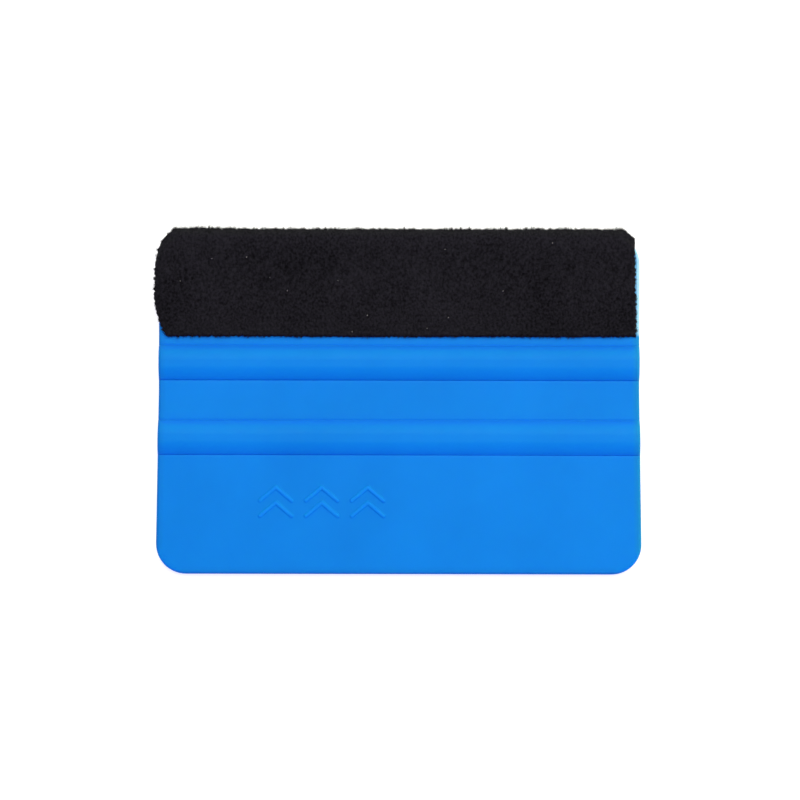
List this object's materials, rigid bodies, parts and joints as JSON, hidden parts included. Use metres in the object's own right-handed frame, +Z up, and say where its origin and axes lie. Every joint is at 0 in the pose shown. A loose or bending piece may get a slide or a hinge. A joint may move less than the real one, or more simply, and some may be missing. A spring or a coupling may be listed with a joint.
{
  "type": "squeegee applicator",
  "caption": "Flat flexible hand squeegee for applying film: a moulded plastic card with grip ridges on both faces and a pile felt strip folded over its working edge.",
  "frame": {"origin": "centre of the footprint on the surface that the card lies on, level with the crests of its back ridges", "axes": "+X along the working edge, +Y from the tail edge towards the felted working edge, +Z up out of the front face"},
  "size_m": [0.102, 0.0724, 0.0054],
  "materials": {
    "blade_plastic": "satin",
    "tape_adhesive": "satin",
    "felt_pile": "matte"
  },
  "bodies": {
    "root": {"blade": "blade_plastic", "adhesive_tape": "tape_adhesive", "felt_strip": "felt_pile"}
  },
  "joints": []
}
